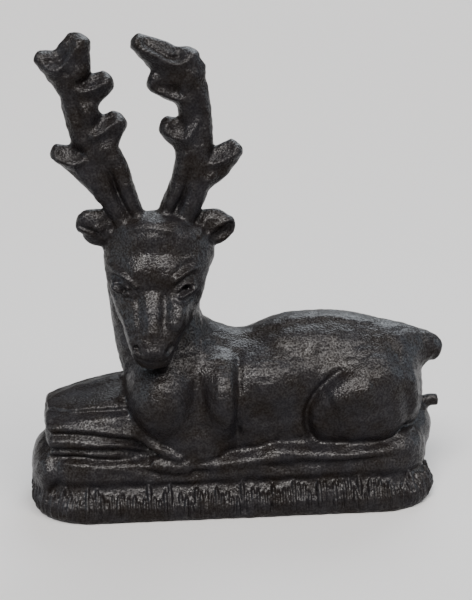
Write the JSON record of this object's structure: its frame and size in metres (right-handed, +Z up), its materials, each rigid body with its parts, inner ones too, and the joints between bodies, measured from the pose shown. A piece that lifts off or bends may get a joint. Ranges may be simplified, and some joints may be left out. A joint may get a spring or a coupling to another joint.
{
  "type": "reclining stag statue",
  "caption": "Reclining stag with tall branching antlers, its head turned to the viewer, cast in one with a log and an oval base edged in grass.",
  "frame": {"origin": "the middle of the base's length and depth, on the flat underside", "axes": "+X along the base to the rump, -Y towards the viewer whom the stag faces, +Z up"},
  "size_m": [0.308, 0.1258, 0.3404],
  "materials": {
    "iron": "semi-gloss black paint over a pebbly sand-cast skin"
  },
  "bodies": {
    "root": {"stag_on_grass_base": "iron"}
  },
  "joints": []
}
